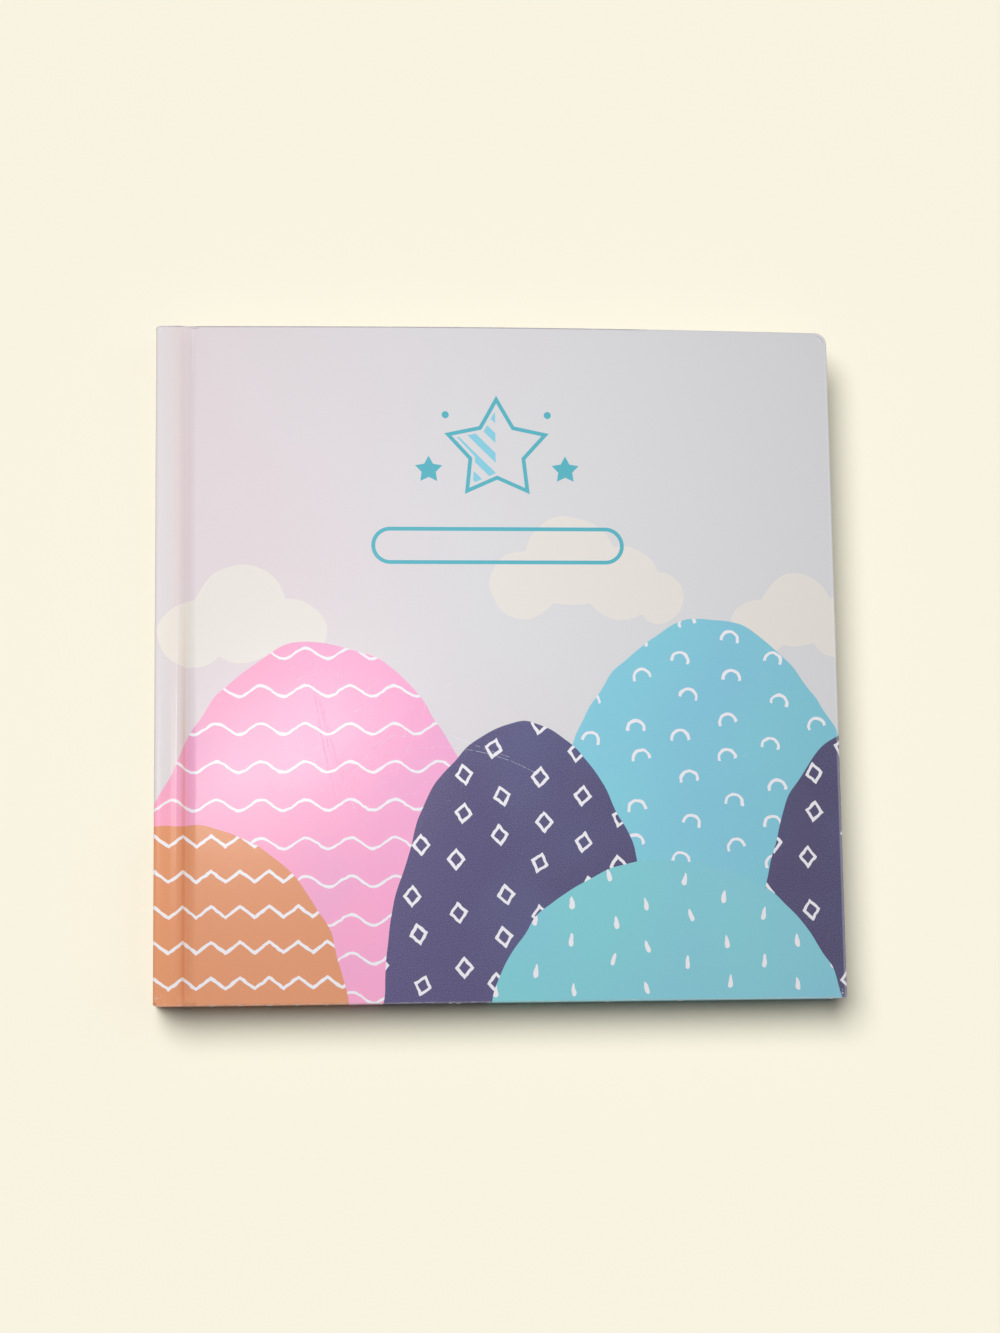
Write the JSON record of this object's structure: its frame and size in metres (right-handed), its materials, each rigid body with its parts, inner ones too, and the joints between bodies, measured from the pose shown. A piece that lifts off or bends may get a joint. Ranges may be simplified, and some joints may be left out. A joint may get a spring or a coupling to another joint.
{
  "type": "baby memory book",
  "caption": "Square hardcover memory book with a printed paper case, French grooves beside a flat spine and two covers that open on their hinges.",
  "frame": {"origin": "centre of the closed book's footprint, on the surface that its back cover lies on", "axes": "+X from the spine to the fore-edge, +Y from tail to head, +Z from the back cover up to the front cover"},
  "size_m": [0.2176, 0.216, 0.018],
  "materials": {
    "printed_cover_paper": "satin laminated print",
    "greyboard": "solid greyboard, matte",
    "leaf_paper": "uncoated, matte",
    "endpaper": "uncoated, matte",
    "gauze": "starched open weave",
    "kraft_paper": "brown, matte",
    "band_cloth": "woven, with a beaded edge"
  },
  "bodies": {
    "book_block": {"page_block": "leaf_paper", "front_flyleaf": "endpaper", "back_flyleaf": "endpaper", "spine_mull": "gauze", "spine_lining": "kraft_paper", "head_band": "band_cloth", "tail_band": "band_cloth", "spine_board": "greyboard", "spine_wrap": "printed_cover_paper"},
    "front_cover": {"front_board": "greyboard", "front_wrap": "printed_cover_paper", "front_mull_flap": "gauze", "front_pastedown": "endpaper"},
    "back_cover": {"back_board": "greyboard", "back_wrap": "printed_cover_paper", "back_mull_flap": "gauze", "back_pastedown": "endpaper"}
  },
  "joints": [
    {"name": "front_cover_hinge", "type": "hinge", "parent": "book_block", "child": "front_cover", "pos_m": [-0.1036, 0, 0.01815], "axis": [0, -1, 0], "range_deg": [0, 179]},
    {"name": "back_cover_hinge", "type": "hinge", "parent": "book_block", "child": "back_cover", "pos_m": [-0.1036, 0, -0.00015], "axis": [0, 1, 0], "range_deg": [0, 179]}
  ]
}
